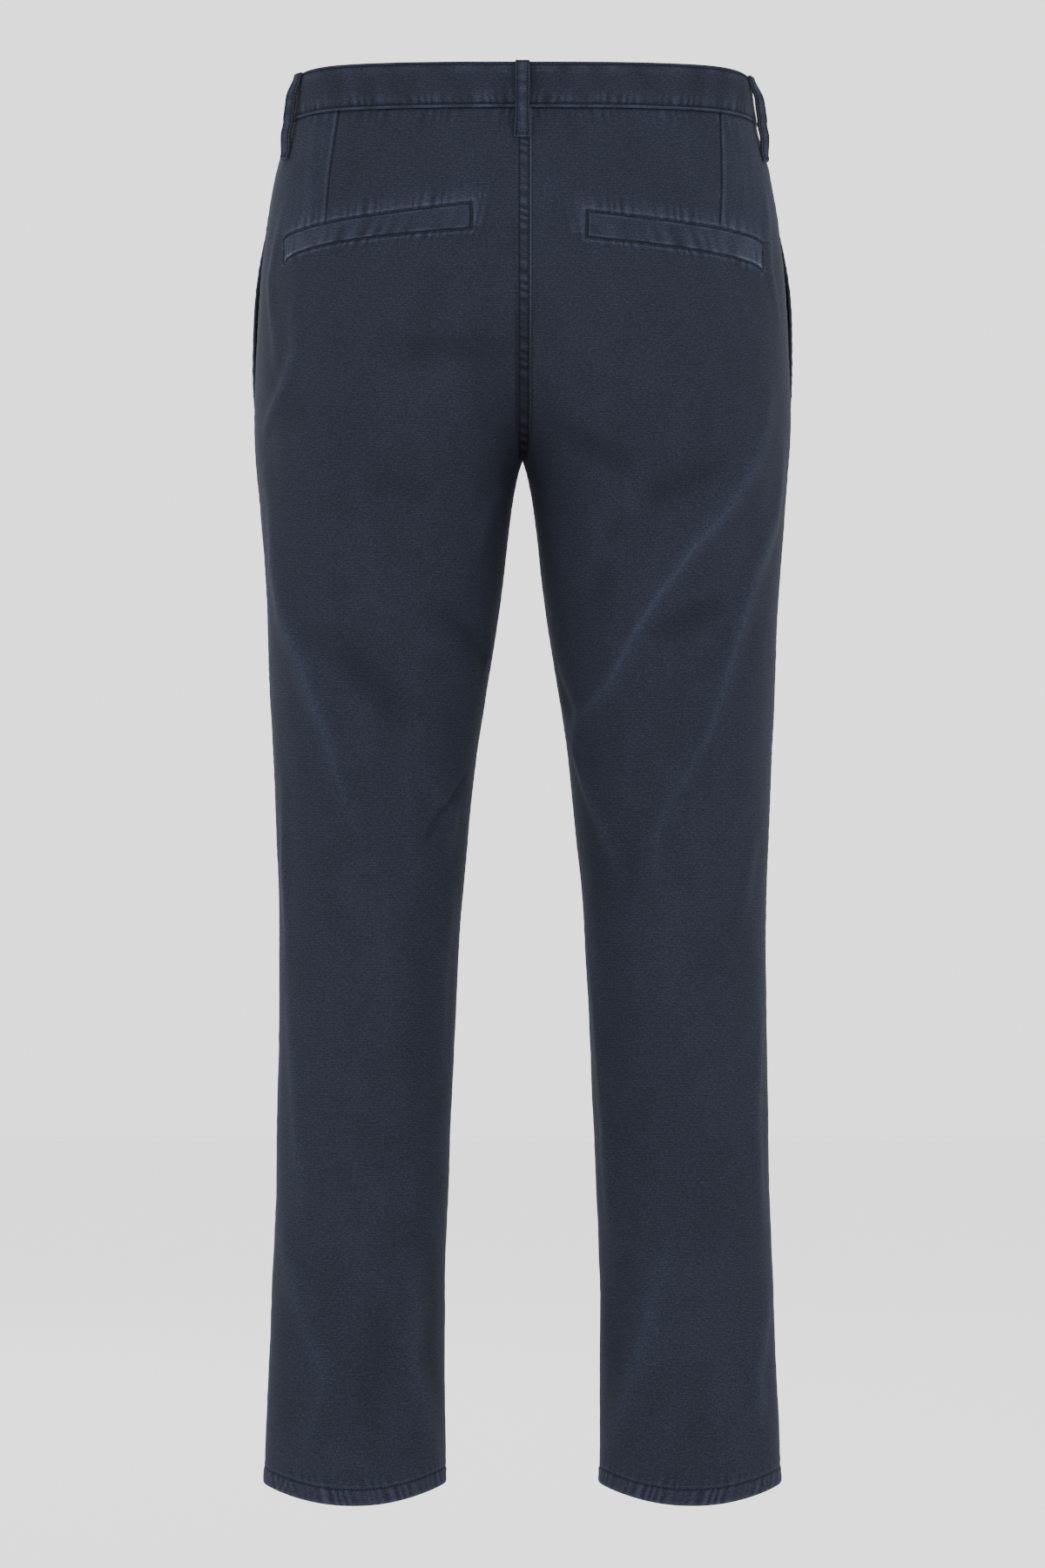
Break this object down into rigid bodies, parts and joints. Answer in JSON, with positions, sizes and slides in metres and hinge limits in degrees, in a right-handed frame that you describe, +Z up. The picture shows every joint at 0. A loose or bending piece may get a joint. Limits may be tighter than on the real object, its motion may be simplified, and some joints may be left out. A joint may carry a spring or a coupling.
{
  "type": "chino trousers",
  "caption": "Straight-leg chino trousers, filled out as if worn, with slant front pockets, welt back pockets, waistband with belt loops, buttoned fly and turned-up hems.",
  "frame": {"origin": "middle of the waist opening, at half the height of the waistband, where the wearer's waist holds the garment", "axes": "+Z up, the back of the garment faces -Y and the fly faces +Y, the wearer's left leg is at -X"},
  "size_m": [0.4086, 0.259, 1.0775],
  "materials": {
    "twill": "garment-washed cotton, ribbed weave, matt, dark navy grey",
    "button": "satin four-hole button"
  },
  "bodies": {
    "root": {"back_panel_left": "twill", "back_panel_right": "twill", "front_panel_left": "twill", "front_panel_right": "twill", "pocket_facing_left": "twill", "pocket_facing_right": "twill", "waistband_left": "twill", "waistband_right": "twill", "back_welt_left": "twill", "back_welt_right": "twill", "belt_loop_centre_back": "twill", "belt_loop_side_left": "twill", "belt_loop_side_right": "twill", "belt_loop_front_left": "twill", "belt_loop_front_right": "twill", "fly_placket": "twill", "waist_button": "button"}
  },
  "joints": []
}
